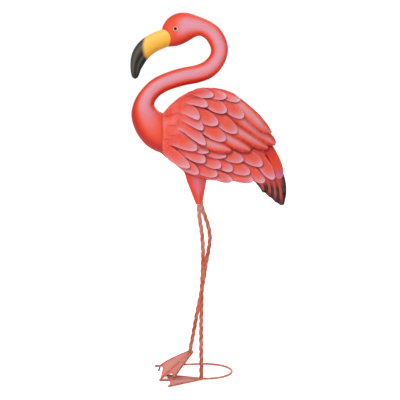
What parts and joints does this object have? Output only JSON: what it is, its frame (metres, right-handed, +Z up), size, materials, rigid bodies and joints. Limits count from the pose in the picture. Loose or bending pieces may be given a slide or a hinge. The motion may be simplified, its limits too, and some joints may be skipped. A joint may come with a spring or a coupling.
{
  "type": "garden flamingo statue",
  "caption": "Standing sheet-metal flamingo with an S-shaped neck, a hooked bill, layered pressed feathers, twisted-rod legs, webbed feet and a bent rod that steadies it.",
  "frame": {"origin": "on the ground, under the middle of the statue's bounding box", "axes": "+Z up, the bird faces -X and its left side faces -Y"},
  "size_m": [0.4688, 0.2608, 1.0997],
  "materials": {
    "neck_paint": "satin coral paint with pink brushed along the sides",
    "bill_paint": "satin yellow paint with a black tip",
    "body_paint": "satin coral paint",
    "feather_paint": "satin coral paint with pink and pale lilac tips",
    "tail_paint": "satin coral and maroon paint with black ends",
    "leg_paint": "satin orange-brown paint",
    "foot_paint": "satin pinkish paint with orange edges"
  },
  "bodies": {
    "root": {"head_and_neck": "neck_paint", "bill": "bill_paint", "body": "body_paint", "left_shoulder_feathers": "feather_paint", "left_covert_feathers": "feather_paint", "left_long_covert_feathers": "feather_paint", "left_flight_feathers": "feather_paint", "left_breast_feathers": "feather_paint", "left_first_belly_feathers": "feather_paint", "left_second_belly_feathers": "feather_paint", "left_third_belly_feathers": "feather_paint", "left_fourth_belly_feathers": "feather_paint", "left_last_belly_feathers": "feather_paint", "left_tail_covert": "feather_paint", "right_shoulder_feathers": "feather_paint", "right_covert_feathers": "feather_paint", "right_long_covert_feathers": "feather_paint", "right_flight_feathers": "feather_paint", "right_breast_feathers": "feather_paint", "right_first_belly_feathers": "feather_paint", "right_second_belly_feathers": "feather_paint", "right_third_belly_feathers": "feather_paint", "right_fourth_belly_feathers": "feather_paint", "right_last_belly_feathers": "feather_paint", "right_tail_covert": "feather_paint", "tail": "tail_paint", "left_thigh": "body_paint", "right_thigh": "body_paint", "left_leg": "leg_paint", "right_leg": "leg_paint", "left_foot": "foot_paint", "right_foot": "foot_paint", "ground_rod": "leg_paint"}
  },
  "joints": []
}
